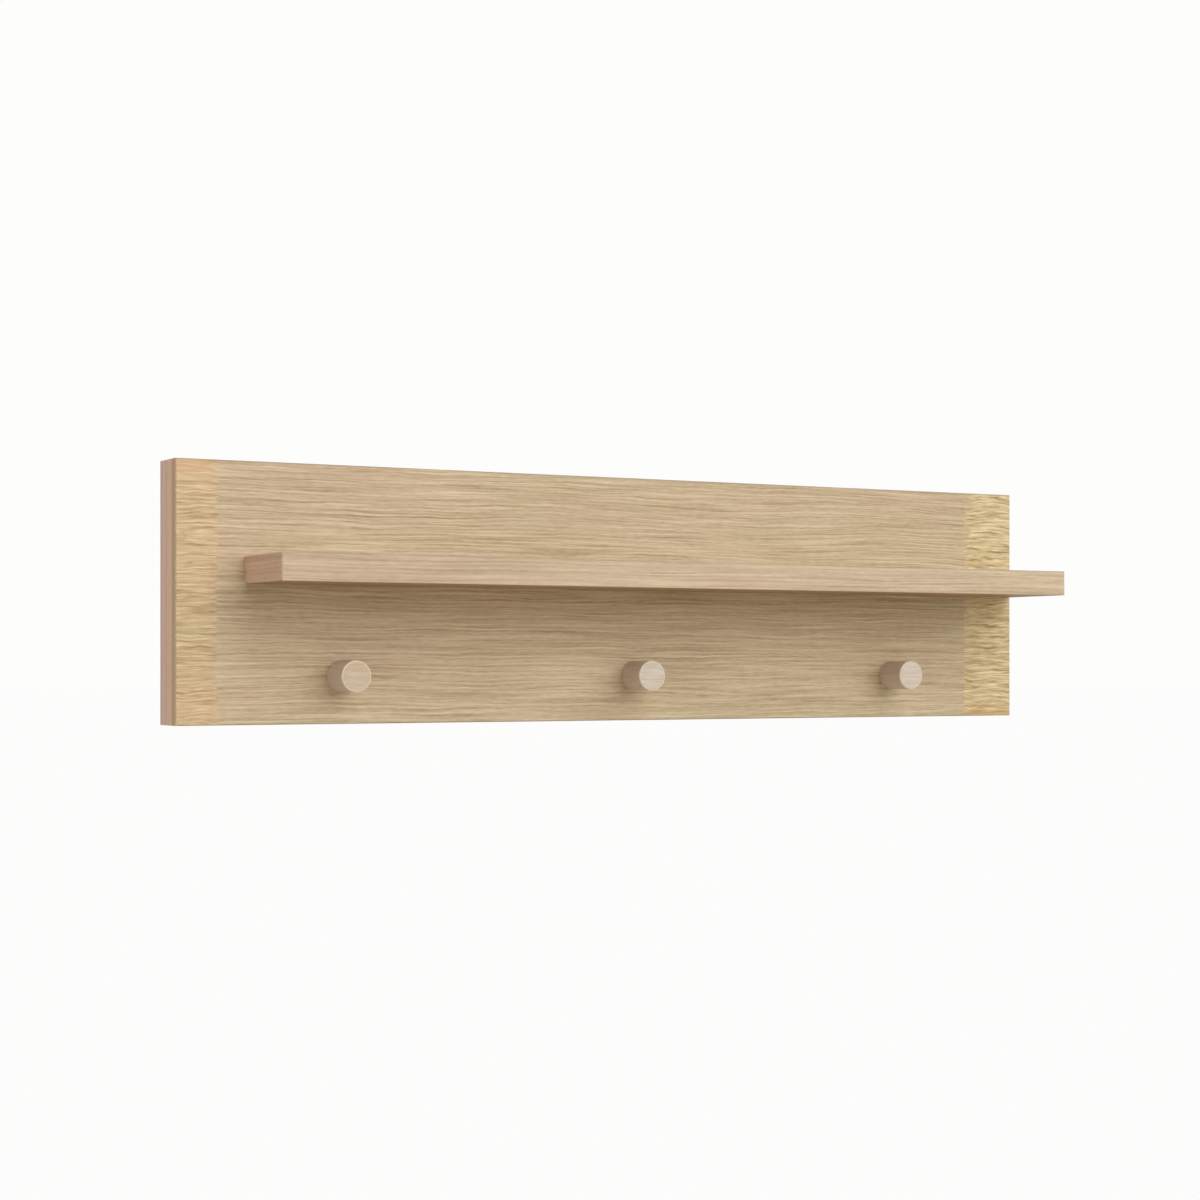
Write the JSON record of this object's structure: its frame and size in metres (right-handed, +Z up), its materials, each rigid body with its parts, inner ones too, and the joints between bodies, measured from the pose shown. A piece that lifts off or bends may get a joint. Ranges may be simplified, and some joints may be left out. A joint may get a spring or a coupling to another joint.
{
  "type": "peg rail with shelf",
  "caption": "Oak wall rail with a narrow shelf above round pegs, end boards of coarser grain, and a rear frame with keyhole plates for hanging on wall screws.",
  "frame": {"origin": "on the back face that lies against the wall, halfway between the entry holes of the two keyhole plates", "axes": "+X along the rail, to the right as seen from the room; +Y into the wall; +Z up"},
  "size_m": [0.9, 0.126, 0.228],
  "materials": {
    "oak_panel": "clear matt oil on straight-grained light oak",
    "oak_end_board": "clear matt oil on coarse wavy-grained light oak",
    "oak_shelf": "clear matt oil on straight-grained light oak",
    "oak_peg": "turned pale oak, clear matt oil",
    "frame_oak": "planed oak of a lower grade, oiled",
    "birch_spline": "bare birch plywood",
    "beech_dowel": "bare beech",
    "zinc_steel": "zinc plated",
    "hanger_steel": "zinc plated, stamped"
  },
  "bodies": {
    "root": {"main_panel": "oak_panel", "left_end_board": "oak_end_board", "right_end_board": "oak_end_board", "left_spline": "birch_spline", "right_spline": "birch_spline", "rear_top_rail": "frame_oak", "rear_bottom_rail": "frame_oak", "rear_left_stile": "frame_oak", "rear_right_stile": "frame_oak", "rear_frame_dowels": "beech_dowel", "rear_frame_screws": "zinc_steel", "shelf_board": "oak_shelf", "shelf_dowels": "beech_dowel", "shelf_screws": "zinc_steel", "left_peg": "oak_peg", "middle_peg": "oak_peg", "right_peg": "oak_peg", "peg_screws": "zinc_steel", "left_hanger_plate": "hanger_steel", "right_hanger_plate": "hanger_steel", "hanger_plate_screws": "zinc_steel"}
  },
  "joints": []
}
